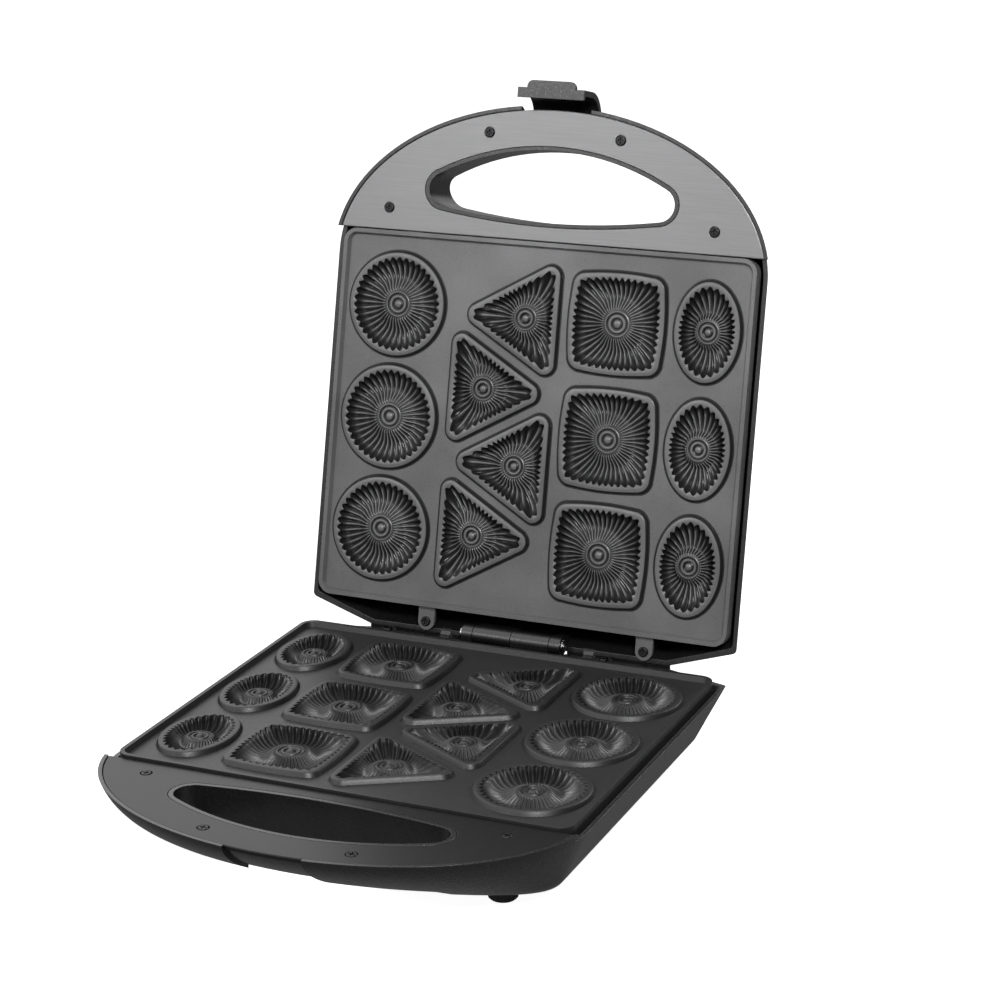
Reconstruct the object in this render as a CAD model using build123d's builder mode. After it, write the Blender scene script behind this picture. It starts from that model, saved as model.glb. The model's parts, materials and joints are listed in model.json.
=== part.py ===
from build123d import *
import os
from math import cos, radians, sin, sqrt, tan

# Mini donut maker: two hinged halves with the same cast cake plate in each.
# Each half is modelled lying open side up, with its plate's back edge on Y = 0, its handle
# towards -Y and the plane where the plates meet just above Z = 0. The lid is the second half,
# turned over about the fore-and-aft axis and swung open on the hinge.
# "Reach" is a distance forward of the plate's back edge, "drop" a depth below Z = 0.

# Overall sizes of one half
plate_width = 250.0
plate_depth = 213.0
body_depth = 38.0
handle_reach = 89.5
handle_start = 200.0
open_angle = 103.0
closed_gap = 1.0

# Housing shell
wall = 1.8
side_clearance = 3.2
draft_angle = 25.0
lip_drop = 1.2
wall_drop = 5.0
belly = 0.64
belly_power = 1.6
rear_overhang = 16.5
rear_corner_overhang = 4.5
rear_straight = 92.0
bottom_round = 6.0
corner_round = 3.0
section_shares = [0, 0.1, 0.22, 0.36, 0.5, 0.64, 0.76, 0.85, 0.91, 0.95, 0.98, 1]

# Cast plate
rim_width = 2.3
rim_height = 3.0
rim_slope = 20.0
skirt_height = 7.5
skirt_wall = 2.4
skin = 2.5
plate_corner = 8.0

# Cavities of the plate and the collars round them
collar_drop = 0.6
collar_wall = 3.4
collar_slope = 1.3
cavity_depth = 9.6
cavity_inset = 6.5
cavity_shares = [0, 0.35, 0.65, 0.85, 0.96, 1]
hump_radius = 7.4
hump_foot = 14.0
hump_drop = 3.4
oval_hump_radius = 6.3
oval_hump_foot = 9.6
rosette_radius = 4.6
rosette_step = 0.5
circle_radius = 27.2
oval_half_width = 16.6
oval_half_length = 25.4
square_half = 23.8
square_bulge = 2.2
square_corner = 5.0
triangle_inradius = 17.75
triangle_corner = 3.6
smallest_corner = 1.2
row_pitch = 64.8
first_row = 41.5
circle_x = 89.0
square_x = -45.7
oval_x = -99.0
triangle_near_x = 9.5
triangle_far_x = 32.0
triangle_first = 43.5
triangle_pitch = 42.0

# Handle panel and finger hole
panel_drop = 1.5
panel_thickness = 2.0
panel_clearance = 0.25
panel_inset = 2.4
panel_edge = 0.4
panel_recess_depth = 1.0
panel_gap = 0.5
hole_front = 264.4
hole_back = 223.9
hole_front_radius = 131.0
hole_back_radius = 418.0
hole_corner = 9.6
hole_sleeve = 2.2
hole_clearance = 0.3
panel_screw_spots = [(98.5, 226.0), (39.6, 272.5)]
boss_radius = 4.2

# Screws
screw_radius = 1.5
screw_hole_clearance = 0.2
screw_head_radius = 2.8
screw_head_height = 1.3
screw_length = 9.0
screw_recess_radius = 3.25
pilot_clearance = 0.02
cross_share = 1.2
cross_width = 0.8
cross_depth_share = 0.6

# Lugs behind the plate and tongues in front of it
lug_width = 10.0
lug_reach = 13.5
lug_drop = 2.8
lug_thickness = 2.2
lug_screw_reach = 8.5
lug_spots = [56.0, -77.0]
tongue_width = 12.0
tongue_reach = 6.0
tongue_drop = 4.4
tongue_thickness = 2.4
tongue_x = 84.0
tongue_clearance = 0.5
bulkhead_gap = 0.9

# Hinge
hinge_behind = 11.5
barrel_radius = 5.25
barrel_long = 23.0
barrel_short = 6.5
barrel_gap = 0.35
barrel_relief = 1.3
web_drop = 15.0
web_shoulder = 2.2
web_taper = 9.0
stop_x = 44.0
stop_width = 6.0
stop_near = 5.6
stop_far = 11.0
stop_root = 12.5
stop_gap = 0.05
pin_radius = 2.0
pin_clearance = 0.05
pin_head_radius = 3.6
pin_head_height = 1.4
clip_radius = 3.6
clip_thickness = 0.8
clip_gap = 0.2
clip_side_gap = 0.05
groove_radius = 1.4
pin_tip = 0.6

# Latch
recess_half_width = 21.0
recess_depth = 2.4
recess_lift = 0.5
recess_reach = 255.0
latch_width = 40.0
latch_pivot_reach = 274.5
latch_pivot_drop = 14.0
latch_barrel_radius = 3.2
latch_pin_radius = 1.25
latch_pin_fit = 0.02
latch_running_fit = 0.06
latch_pocket_clearance = 0.8
latch_arm = 3.3
latch_arm_reach = 298.5
latch_arm_end = 9.0
latch_elbow_radius = 17.0
latch_elbow_drop = 20.5
latch_pocket_bottom = 21.5
latch_cheek = 5.5
latch_hook_length = 2.4
latch_hook_thickness = 3.0
latch_hook_tip = 1.2
latch_foot = 0.6
latch_pin_short = 0.5
latch_tab_width = 29.0
latch_tab_height = 4.2
latch_tab_thickness = 2.6
latch_tab_corner = 3.6

# Feet
foot_radius = 7.5
foot_height = 7.0
foot_edge = 1.0
foot_stem_radius = 2.9
foot_stem_clearance = 0.1
foot_stem_length = 4.0
foot_seat_gap = 0.03
foot_front = 205.0
foot_back = 14.0
foot_x = 87.0

# Heating element and what holds it
tube_radius = 3.25
tube_gap = 0.3
element_left = -77.5
element_right = 56.5
element_front = 203.5
element_back = 22.0
element_corner = 12.0
insulator_radius = 2.9
insulator_length = 6.0
lead_radius = 1.2
lead_clearance = 0.05
lead_length = 3.0
terminal_width = 5.0
terminal_length = 8.0
terminal_thickness = 0.8
clamp_width = 8.0
clamp_thickness = 0.8
clamp_wing = 4.2
clamp_fit = 0.1
small_screw_radius = 1.0
small_screw_grip = 1.8
small_head_radius = 1.8
small_head_height = 1.0
small_screw_slack = 0.1
clamp_spots = [(element_left, 73.9), (element_left, 138.7), (element_right, 85.0)]

# Heat reflector
reflector_drop = 20.0
reflector_thickness = 0.6
reflector_flange = 5.0
reflector_half_width = 108.0
reflector_front = 204.0
reflector_back = 10.0
reflector_corner = 10.0
post_x = 60.0
post_rows = [48.0, 166.0]
post_radius = 4.0

# Electrical parts
thermostat_radius = 8.0
thermostat_height = 8.5
thermostat_ear_length = 25.0
thermostat_ear_width = 7.0
thermostat_ear_thickness = 1.0
thermostat_screw_pitch = 20.0
thermostat_blade = 4.0
thermostat_spot = (-2.0, 19.0)
fuse_radius = 2.0
fuse_length = 12.0
fuse_lead_radius = 0.5
fuse_lead_length = 3.0
fuse_spot = (43.0, 190.5)
block_length = 30.0
block_width = 12.0
block_height = 12.0
block_bore = 1.6
block_pitch = 12.0
block_way_pitch = 8.0
block_peg_clearance = 0.05
block_spot = (-42.0, 30.0)
gland_x = -52.0
gland_drop = 21.0
gland_bore = 3.6
gland_radius = 6.0
gland_clearance = 0.1
gland_flange_radius = 8.2
gland_flange_thickness = 2.4
gland_lip_radius = 7.2
gland_lip_thickness = 1.5
gland_boss_radius = 9.4
gland_boss_face = 12.5
gland_boss_root = 1.0
lamp_x = 13.0
lamp_reach = 196.0
lamp_radius = 4.0
lamp_clearance = 0.1
lamp_flange_radius = 5.0
lamp_proud = 1.2
lamp_length = 6.0
bulb_radius = 2.6
bulb_length = 10.0

# Values worked out from the sizes above
far = 400.0
draft = tan(radians(draft_angle))
half_width = plate_width / 2 + side_clearance + wall + (wall_drop - lip_drop) * draft
base_bottom = rim_height + skin
tube_drop = base_bottom + tube_gap + tube_radius
fuse_drop = base_bottom + tube_gap + fuse_radius
floor_drop = body_depth - wall
foot_seat = -body_depth - foot_seat_gap
panel_back = plate_depth + panel_gap
panel_seat = panel_drop + panel_thickness
bulkhead_back = panel_back + bulkhead_gap
lug_seat = lug_drop + lug_thickness
tongue_seat = tongue_drop + tongue_thickness
post_seat = reflector_drop + reflector_thickness
hinge_height = closed_gap / 2
barrel_inner = barrel_gap / 2
barrel_outer = barrel_inner + barrel_long
ring_inner = barrel_outer + barrel_gap
ring_outer = ring_inner + barrel_short
knuckle_spans = [(-ring_outer, -ring_inner), (barrel_inner, barrel_outer)]
cavity_floor = collar_drop + cavity_depth
rows = [first_row + row_pitch * step for step in range(3)]
panel_screws = [(side * x, -reach) for x, reach in panel_screw_spots for side in (-1, 1)]
lug_screws = [(x, lug_screw_reach) for x in lug_spots]
post_spots = [(side * post_x, -reach) for reach in post_rows for side in (-1, 1)]
lamp_spots = [(side * lamp_x, -lamp_reach) for side in (-1, 1)]
block_pegs = [(block_spot[0] + side * block_pitch, -block_spot[1]) for side in (-1, 1)]
foot_spots = [(side * foot_x, -reach) for reach in (foot_back, foot_front) for side in (-1, 1)]
clamp_half = tube_radius + clamp_fit + clamp_thickness
fuse_half = fuse_radius + clamp_fit + clamp_thickness
small_screw_spots = [
    (x + side * (clamp_half + clamp_wing / 2), -reach) for x, reach in clamp_spots for side in (-1, 1)
]
thermostat_screws = [
    (thermostat_spot[0] + side * thermostat_screw_pitch / 2, -thermostat_spot[1]) for side in (-1, 1)
]
fuse_screws = [
    (fuse_spot[0], side * (fuse_half + clamp_wing / 2) - fuse_spot[1]) for side in (-1, 1)
]
all_small_screws = small_screw_spots + thermostat_screws + fuse_screws
cavities = [("circle", circle_x, row, 0) for row in rows]
cavities += [("square", square_x, row, 0) for row in rows]
cavities += [("oval", oval_x, row, 0) for row in rows]
cavities += [("triangle", triangle_far_x, triangle_first + 2 * triangle_pitch * k, 180) for k in (0, 1)]
cavities += [("triangle", triangle_near_x, triangle_first + triangle_pitch * k, 0) for k in (1, 3)]


def block(low, high):
    """Box between two corners."""
    with BuildPart() as solid:
        with Locations(tuple((a + b) / 2 for a, b in zip(low, high))):
            Box(*[b - a for a, b in zip(low, high)])
    return solid.part


def rod(radius, low, high, y, z):
    """Cylinder along X."""
    with BuildPart() as solid:
        with BuildSketch(Plane.YZ.offset(low)):
            with Locations((y, z)):
                Circle(radius)
        extrude(amount=high - low)
    return solid.part


def pegs(spots, radius, top, bottom):
    """Upright cylinders between two heights."""
    with BuildPart() as solid:
        with BuildSketch(Plane.XY.offset(top)):
            with Locations(*spots):
                Circle(radius)
        extrude(amount=bottom - top)
    return solid.part


def hull(inset=0.0):
    """Pillow body of one half. An inset gives the smaller body inside it."""
    with BuildPart() as solid:
        for share in section_shares:
            drop = lip_drop + (body_depth - inset - lip_drop) * share
            depth = min(drop + inset, body_depth) - lip_drop
            low = max(depth + lip_drop - body_depth + bottom_round, 0)
            rounding = bottom_round - sqrt(bottom_round**2 - low**2)
            shrink = depth * draft + rounding + inset
            half = half_width - shrink
            swell = 1 - belly * (depth / (body_depth - lip_drop)) ** belly_power
            reach = handle_reach * swell - rounding - inset
            straight = rear_straight - shrink * draft
            with BuildSketch(Plane.XY.offset(-drop)) as section:
                with BuildLine():
                    EllipticalCenterArc((0, -handle_start), half, reach, 180, arc_size=180)
                    Polyline(
                        (half, -handle_start),
                        (half, rear_corner_overhang - shrink),
                        (straight, rear_overhang - shrink),
                        (-straight, rear_overhang - shrink),
                        (-half, rear_corner_overhang - shrink),
                        (-half, -handle_start),
                    )
                make_face()
                corners = section.vertices().filter_by_position(Axis.Y, 1 - handle_start, far)
                fillet(corners, corner_round)
        loft()
    return solid.part


def finger_hole(grow, top, bottom):
    """Plug in the shape of the finger hole, grown all round by a distance."""
    front = hole_front + grow
    back = hole_back - grow
    front_radius = hole_front_radius + grow
    back_radius = hole_back_radius + grow
    tip = sqrt((front - back) / (0.5 / front_radius + 0.5 / back_radius))
    middle = front - tip**2 / (2 * front_radius)
    with BuildPart() as solid:
        with BuildSketch(Plane.XY.offset(bottom)) as shape:
            with BuildLine():
                ThreePointArc((-tip, -middle), (0, -front), (tip, -middle))
                ThreePointArc((tip, -middle), (0, -back), (-tip, -middle))
            make_face()
            fillet(shape.vertices(), hole_corner + grow)
        extrude(amount=top - bottom)
    return solid.part


def panel_blank(grow, top, bottom):
    """Half-oval plate of the handle, grown all round by a distance."""
    half = half_width - panel_inset + grow
    reach = handle_reach - panel_inset + grow
    with BuildPart() as solid:
        with BuildSketch(Plane.XY.offset(bottom)):
            with BuildLine():
                EllipticalCenterArc((0, -handle_start), half, reach, 180, arc_size=180)
                Line((half, -handle_start), (-half, -handle_start))
            make_face()
            with Locations((0, far / 2 - panel_back + grow)):
                Rectangle(far, far, mode=Mode.SUBTRACT)
        extrude(amount=top - bottom)
    return solid.part


def knuckles():
    """Hinge barrels of one half with the webs that join them to the shell."""
    back = hinge_behind + barrel_radius
    front = hinge_behind - barrel_radius
    with BuildPart() as solid:
        for low, high in knuckle_spans:
            with BuildSketch(Plane.YZ.offset(low)):
                with Locations((hinge_behind, hinge_height)):
                    Circle(barrel_radius)
                with BuildLine():
                    Polyline(
                        (front, hinge_height),
                        (back, hinge_height),
                        (back, -web_shoulder),
                        (back - web_taper, -web_drop),
                        (front, -web_drop),
                        close=True,
                    )
                make_face()
            extrude(amount=high - low)
    return solid.part


def stops():
    """Ribs behind the hinge that meet the other half's when the lid stands open."""
    lean = radians(open_angle / 2)
    root = rear_overhang - (stop_root - lip_drop) * draft - wall / 2
    near = hinge_height - stop_near * sin(lean) - stop_gap
    tip = hinge_height - stop_far * sin(lean) - stop_gap
    with BuildPart() as solid:
        for side in (-1, 1):
            with BuildSketch(Plane.YZ.offset(side * stop_x - stop_width / 2)):
                with BuildLine():
                    Polyline(
                        (hinge_behind + stop_near * cos(lean), near),
                        (hinge_behind + stop_far * cos(lean), tip),
                        (root, -stop_root),
                        (hinge_behind, -wall_drop - wall / 2),
                        close=True,
                    )
                make_face()
            extrude(amount=stop_width)
    return solid.part


def housing(is_lid):
    """Shell of one half."""
    outer = hull()
    inner = hull(wall)
    shift = Location((0, recess_depth, 0 if is_lid else recess_lift))
    pocket_bottom = -latch_pocket_bottom
    recess_bottom = pocket_bottom if is_lid else -body_depth - 1
    backing = block(
        (-recess_half_width - wall, -far, recess_bottom - wall),
        (recess_half_width + wall, -recess_reach, 0),
    )
    backing = (backing & inner) - shift * inner
    recess = block((-recess_half_width, -far, recess_bottom), (recess_half_width, -recess_reach, 1))
    recess = recess - shift * outer
    cheek = latch_width / 2 + latch_pocket_clearance
    pocket_back = latch_pivot_reach - latch_barrel_radius - latch_pocket_clearance
    pocket_top = -latch_pivot_drop + latch_barrel_radius + latch_pocket_clearance
    pivot_block = outer & block(
        (-cheek - latch_cheek, -far, pocket_bottom - wall),
        (cheek + latch_cheek, -pocket_back + wall, pocket_top + wall),
    )
    sleeve = outer & finger_hole(hole_sleeve, -panel_drop, -far)
    bulkhead = inner & block((-far, -bulkhead_back - wall, -far), (far, -bulkhead_back, -panel_seat))
    posts = pegs(panel_screws, boss_radius, -panel_seat, -body_depth)
    posts += pegs(lug_screws, boss_radius, -wall_drop, -body_depth)
    posts += pegs(post_spots, post_radius, -post_seat, -body_depth)
    posts = posts & outer
    pilots = pegs(panel_screws, screw_radius + pilot_clearance, -panel_seat, -panel_seat - screw_length)
    pilots += pegs(lug_screws, screw_radius + pilot_clearance, -lug_seat, -lug_seat - screw_length)
    pilots += pegs(post_spots, screw_radius + pilot_clearance, -post_seat, -post_seat - screw_length)
    pocket = panel_blank(panel_clearance, far, -panel_seat)
    hole = finger_hole(0, far, -far)
    plate_side = block((-far, -panel_back, -wall_drop), (far, far, far))
    barrels = knuckles()
    ribs = stops()
    reliefs = [
        rod(barrel_radius + barrel_relief, -high - barrel_gap, -low + barrel_gap, hinge_behind, hinge_height)
        for low, high in knuckle_spans
    ]
    bore = rod(pin_radius + pin_clearance, -far, far, hinge_behind, hinge_height)
    window_half = tongue_width / 2 + tongue_clearance
    windows = [
        block(
            (side * tongue_x - window_half, -bulkhead_back - 2 * wall, -tongue_seat - tongue_clearance),
            (side * tongue_x + window_half, -bulkhead_back + wall, -tongue_drop + tongue_clearance),
        )
        for side in (-1, 1)
    ]
    if is_lid:
        extras = [pivot_block]
        openings = [
            block((-cheek, -far, pocket_bottom), (cheek, -pocket_back, pocket_top)),
            rod(latch_pin_radius + latch_pin_fit, -far, far, -latch_pivot_reach, -latch_pivot_drop),
            pegs(lamp_spots, lamp_radius + lamp_clearance, -far, -post_seat),
        ]
    else:
        extras = [
            outer & pegs(block_pegs, block_bore, -body_depth, -floor_drop + block_height / 2),
            stub(gland_boss_radius, gland_boss_root, gland_boss_face),
        ]
        openings = [
            stub(gland_radius + gland_clearance, -far / 2, far / 2),
            pegs(foot_spots, foot_stem_radius + foot_stem_clearance, -far, -floor_drop + 1),
        ]
    with BuildPart() as shell:
        add(outer)
        add(inner, mode=Mode.SUBTRACT)
        add(backing)
        add(bulkhead)
        add(posts)
        add(extras)
        add(plate_side, mode=Mode.SUBTRACT)
        add(pocket, mode=Mode.SUBTRACT)
        add(sleeve)
        add(hole, mode=Mode.SUBTRACT)
        add(recess, mode=Mode.SUBTRACT)
        add(windows, mode=Mode.SUBTRACT)
        add(barrels)
        add(ribs)
        add(reliefs, mode=Mode.SUBTRACT)
        add(bore, mode=Mode.SUBTRACT)
        add(pilots, mode=Mode.SUBTRACT)
        add(openings, mode=Mode.SUBTRACT)
    return shell.part


def stub(radius, back, front):
    """Cylinder along Y at the cord's way in."""
    with BuildPart() as solid:
        with BuildSketch(Plane.XZ.offset(-back)):
            with Locations((gland_x, -gland_drop)):
                Circle(radius)
        extrude(amount=back - front)
    return solid.part


def handle_panel():
    """Flat cover of the handle, with its finger hole and screw seats."""
    with BuildPart() as solid:
        add(panel_blank(0, -panel_drop, -panel_seat))
        chamfer(solid.faces().sort_by(Axis.Z)[-1].edges(), panel_edge)
        add(finger_hole(hole_sleeve + hole_clearance, 0, -far), mode=Mode.SUBTRACT)
        with Locations(*[(x, y, -panel_drop) for x, y in panel_screws]):
            CounterBoreHole(screw_radius + screw_hole_clearance, screw_recess_radius, panel_recess_depth)
    return solid.part


def outline(kind, grow):
    """Flat outline of one cavity, grown all round by a distance."""
    with BuildSketch() as shape:
        if kind == "circle":
            Circle(circle_radius + grow)
        elif kind == "oval":
            Ellipse(oval_half_width + grow, oval_half_length + grow)
        elif kind == "square":
            corner = square_half + grow
            side = corner + square_bulge
            with BuildLine():
                ThreePointArc((corner, corner), (0, side), (-corner, corner))
                ThreePointArc((-corner, corner), (-side, 0), (-corner, -corner))
                ThreePointArc((-corner, -corner), (0, -side), (corner, -corner))
                ThreePointArc((corner, -corner), (side, 0), (corner, corner))
            make_face()
            fillet(shape.vertices(), max(square_corner + grow, smallest_corner))
        else:
            RegularPolygon(triangle_inradius + grow, 3, major_radius=False)
            fillet(shape.vertices(), max(triangle_corner + grow, smallest_corner))
    return shape.sketch


def bowl(kind, grow, top, bottom):
    """Rounded bowl of one cavity, between two heights."""
    with BuildPart() as solid:
        for share in cavity_shares:
            inset = cavity_inset * (1 - sqrt(1 - share**2))
            with BuildSketch(Plane.XY.offset(top + (bottom - top) * share)):
                add(outline(kind, grow - inset))
        loft()
    return solid.part


def collar(kind):
    """Raised ring round one cavity."""
    with BuildPart() as solid:
        with BuildSketch(Plane.XY.offset(-rim_height - skin / 2)):
            add(outline(kind, collar_wall))
        extrude(amount=skin / 2)
        with BuildSketch(Plane.XY.offset(-rim_height)):
            add(outline(kind, collar_wall))
        with BuildSketch(Plane.XY.offset(-collar_drop)):
            add(outline(kind, collar_wall - collar_slope))
        loft()
    return solid.part


def hump(kind):
    """Round boss in the middle of one cavity, with a shallow dish on top."""
    top_radius, foot_radius = (
        (oval_hump_radius, oval_hump_foot) if kind == "oval" else (hump_radius, hump_foot)
    )
    with BuildPart() as solid:
        with BuildSketch(Plane.XZ):
            with BuildLine():
                Polyline(
                    (0, -cavity_floor - skin / 2),
                    (foot_radius, -cavity_floor - skin / 2),
                    (foot_radius, -cavity_floor),
                    (top_radius, -hump_drop),
                    (rosette_radius, -hump_drop),
                    (rosette_radius - rosette_step, -hump_drop - rosette_step),
                    (0, -hump_drop - rosette_step),
                    close=True,
                )
            make_face()
        revolve(axis=Axis.Z)
    return solid.part


def cake_plate():
    """Cast plate with its thirteen cavities, lugs and tongues."""
    kinds = ["circle", "square", "oval", "triangle"]
    collars = {kind: collar(kind) for kind in kinds}
    bumps = {kind: bowl(kind, skin, -rim_height - skin / 2, -cavity_floor - skin) for kind in kinds}
    bowls = {kind: bowl(kind, 0, -collar_drop, -cavity_floor) for kind in kinds}
    humps = {kind: hump(kind) for kind in kinds}
    places = [(kind, Location((x, -reach, 0), (0, 0, turn))) for kind, x, reach, turn in cavities]
    middle = -plate_depth / 2
    with BuildPart() as plate:
        with BuildSketch(Plane.XY.offset(-skirt_height)):
            with Locations((0, middle)):
                RectangleRounded(plate_width, plate_depth, plate_corner)
        extrude(amount=skirt_height)
        with BuildSketch(Plane.XY):
            with Locations((0, middle)):
                RectangleRounded(
                    plate_width - 2 * rim_width, plate_depth - 2 * rim_width, plate_corner - rim_width
                )
        extrude(amount=-rim_height, taper=rim_slope, mode=Mode.SUBTRACT)
        with BuildSketch(Plane.XY.offset(-skirt_height)):
            with Locations((0, middle)):
                RectangleRounded(
                    plate_width - 2 * skirt_wall, plate_depth - 2 * skirt_wall, plate_corner - skirt_wall
                )
        extrude(amount=skirt_height - base_bottom, mode=Mode.SUBTRACT)
        for kind, place in places:
            add(place * collars[kind])
            add(place * bumps[kind])
        for kind, place in places:
            add(place * bowls[kind], mode=Mode.SUBTRACT)
        for kind, place in places:
            add(place * humps[kind])
        for x in lug_spots:
            with BuildSketch(Plane.XY.offset(-lug_drop)):
                with Locations((x, (lug_reach - lug_width / 2 - skirt_wall / 2) / 2)):
                    Rectangle(lug_width, lug_reach - lug_width / 2 + skirt_wall / 2)
                with Locations((x, lug_reach - lug_width / 2)):
                    Circle(lug_width / 2)
            extrude(amount=-lug_thickness)
        with BuildSketch(Plane.XY.offset(-tongue_drop)):
            for side in (-1, 1):
                with Locations((side * tongue_x, -plate_depth - tongue_reach / 2 + skirt_wall / 4)):
                    Rectangle(tongue_width, tongue_reach + skirt_wall / 2)
        extrude(amount=-tongue_thickness)
        with Locations(*[(x, y, -lug_drop) for x, y in lug_screws]):
            Hole(screw_radius + screw_hole_clearance, lug_thickness)
        with Locations(*[(x, y, -base_bottom) for x, y in all_small_screws]):
            Cylinder(
                small_screw_radius + pilot_clearance,
                small_screw_grip,
                align=(Align.CENTER, Align.CENTER, Align.MIN),
                mode=Mode.SUBTRACT,
            )
    return plate.part


def screws(spots, seat, length, radius, head_radius, head_height):
    """Cross-head screws standing head up on a seat."""
    with BuildPart() as group:
        with BuildSketch(Plane.XY.offset(seat)):
            with Locations(*spots):
                Circle(head_radius)
        extrude(amount=head_height)
        chamfer(group.faces().sort_by(Axis.Z)[-len(spots) :].edges(), head_height / 3)
        with BuildSketch(Plane.XY.offset(seat)):
            with Locations(*spots):
                Circle(radius)
        extrude(amount=-length)
        with BuildSketch(Plane.XY.offset(seat + head_height)):
            with Locations(*spots):
                Rectangle(head_radius * cross_share, cross_width)
                Rectangle(cross_width, head_radius * cross_share)
        extrude(amount=-head_height * cross_depth_share, mode=Mode.SUBTRACT)
    return group.part


def under_screws(spots, seat):
    """Small screws holding a strap or an ear under the plate, heads down."""
    with BuildPart() as group:
        with BuildSketch(Plane.XY.offset(seat)):
            with Locations(*spots):
                Circle(small_head_radius)
        extrude(amount=-small_head_height)
        with BuildSketch(Plane.XY.offset(seat)):
            with Locations(*spots):
                Circle(small_screw_radius)
        extrude(amount=-seat - base_bottom + small_screw_grip - small_screw_slack)
    return group.part


def heating_element():
    """Tube bent round the plate, with its leads and terminals at the back."""
    left, right = element_left, element_right
    tip = insulator_length + lead_length
    with BuildPart() as element:
        with BuildLine() as path:
            FilletPolyline(
                (left, -element_back, -tube_drop),
                (left, -element_front, -tube_drop),
                (right, -element_front, -tube_drop),
                (right, -element_back, -tube_drop),
                radius=element_corner,
            )
        with BuildSketch(Plane.XZ.offset(element_back)):
            with Locations((left, -tube_drop)):
                Circle(tube_radius)
        sweep(path=path.wire())
        with BuildSketch(Plane.XZ.offset(element_back)):
            with Locations((left, -tube_drop), (right, -tube_drop)):
                Circle(lead_radius)
        extrude(amount=-tip)
        for x in (left, right):
            with Locations((x, -element_back + tip + terminal_length / 2 - lead_length / 2, -tube_drop)):
                Box(terminal_width, terminal_length, terminal_thickness)
    return element.part


def element_insulators():
    """Ceramic sleeves round the leads at the two ends of the tube."""
    with BuildPart() as group:
        with BuildSketch(Plane.XZ.offset(element_back)):
            with Locations((element_left, -tube_drop), (element_right, -tube_drop)):
                Circle(insulator_radius)
                Circle(lead_radius + lead_clearance, mode=Mode.SUBTRACT)
        extrude(amount=-insulator_length)
    return group.part


def strap(radius, drop):
    """Bent strap over a tube lying along Y under the plate, with a wing on each side."""
    inside = radius + clamp_fit
    outside = inside + clamp_thickness
    wing_end = outside + clamp_wing
    with BuildPart() as solid:
        with BuildSketch(Plane.XZ.offset(-clamp_width / 2)) as shape:
            with Locations((0, -drop)):
                Circle(outside)
            with Locations((0, -(base_bottom + drop) / 2)):
                Rectangle(2 * outside, drop - base_bottom)
            with Locations((0, -base_bottom - clamp_thickness / 2)):
                Rectangle(2 * wing_end, clamp_thickness)
            with Locations((0, -drop)):
                Circle(inside, mode=Mode.SUBTRACT)
            with Locations((0, -drop / 2)):
                Rectangle(2 * inside, drop, mode=Mode.SUBTRACT)
        extrude(amount=clamp_width)
        with Locations(*[(side * (wing_end - clamp_wing / 2), 0, -base_bottom) for side in (-1, 1)]):
            Hole(small_screw_radius + screw_hole_clearance / 2, 2 * clamp_thickness)
    return solid.part


def element_clamps():
    """Straps that hold the tube to the underside of the plate."""
    bent = strap(tube_radius, tube_drop)
    with BuildPart() as group:
        for x, reach in clamp_spots:
            add(Location((x, -reach, 0)) * bent)
    return group.part


def reflector():
    """Shallow sheet tray behind the element that throws the heat back."""
    middle = -(reflector_front + reflector_back) / 2
    depth = reflector_front - reflector_back
    with BuildPart() as tray:
        with BuildSketch(Plane.XY.offset(-post_seat)):
            with Locations((0, middle)):
                RectangleRounded(2 * reflector_half_width, depth, reflector_corner)
        extrude(amount=reflector_flange)
        inner_width = 2 * (reflector_half_width - reflector_thickness)
        with BuildSketch(Plane.XY.offset(-reflector_drop)):
            with Locations((0, middle)):
                RectangleRounded(
                    inner_width, depth - 2 * reflector_thickness, reflector_corner - reflector_thickness
                )
        extrude(amount=reflector_flange, mode=Mode.SUBTRACT)
        with Locations(*[(x, y, -reflector_drop) for x, y in post_spots]):
            Hole(screw_radius + screw_hole_clearance, reflector_thickness)
    return tray.part


def rubber_feet():
    """Four feet with stems that plug into the floor."""
    with BuildPart() as group:
        with BuildSketch(Plane.XY.offset(foot_seat)):
            with Locations(*foot_spots):
                Circle(foot_radius)
        extrude(amount=foot_seat_gap - foot_height)
        chamfer(group.faces().sort_by(Axis.Z)[: len(foot_spots)].edges(), foot_edge)
        with BuildSketch(Plane.XY.offset(foot_seat)):
            with Locations(*foot_spots):
                Circle(foot_stem_radius)
        extrude(amount=foot_stem_length)
    return group.part


def thermostat():
    """Disc thermostat with a strap of two ears, flat against the plate."""
    x, reach = thermostat_spot
    with BuildPart() as solid:
        with Locations((x, -reach, -base_bottom)):
            Cylinder(thermostat_radius, thermostat_height, align=(Align.CENTER, Align.CENTER, Align.MAX))
            Box(
                thermostat_ear_length,
                thermostat_ear_width,
                thermostat_ear_thickness,
                align=(Align.CENTER, Align.CENTER, Align.MAX),
            )
        with Locations(*[(a, b, -base_bottom) for a, b in thermostat_screws]):
            Hole(small_screw_radius + screw_hole_clearance / 2, thermostat_ear_thickness)
        for side in (-1, 1):
            with Locations((x + side * thermostat_radius / 2, -reach, -base_bottom - thermostat_height)):
                Box(
                    terminal_thickness,
                    terminal_width,
                    thermostat_blade,
                    align=(Align.CENTER, Align.CENTER, Align.MAX),
                )
    return solid.part


def thermal_fuse():
    """Small cartridge fuse lying across the plate's underside."""
    x, reach = fuse_spot
    with BuildPart() as solid:
        with Locations(Location((x, -reach, -fuse_drop), (0, 90, 0))):
            Cylinder(fuse_radius, fuse_length)
            Cylinder(fuse_lead_radius, fuse_length + 2 * fuse_lead_length)
    return solid.part


def fuse_strap():
    """Strap that holds the fuse against the plate."""
    with BuildPart() as solid:
        add(Location((fuse_spot[0], -fuse_spot[1], 0), (0, 0, 90)) * strap(fuse_radius, fuse_drop))
    return solid.part


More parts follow.
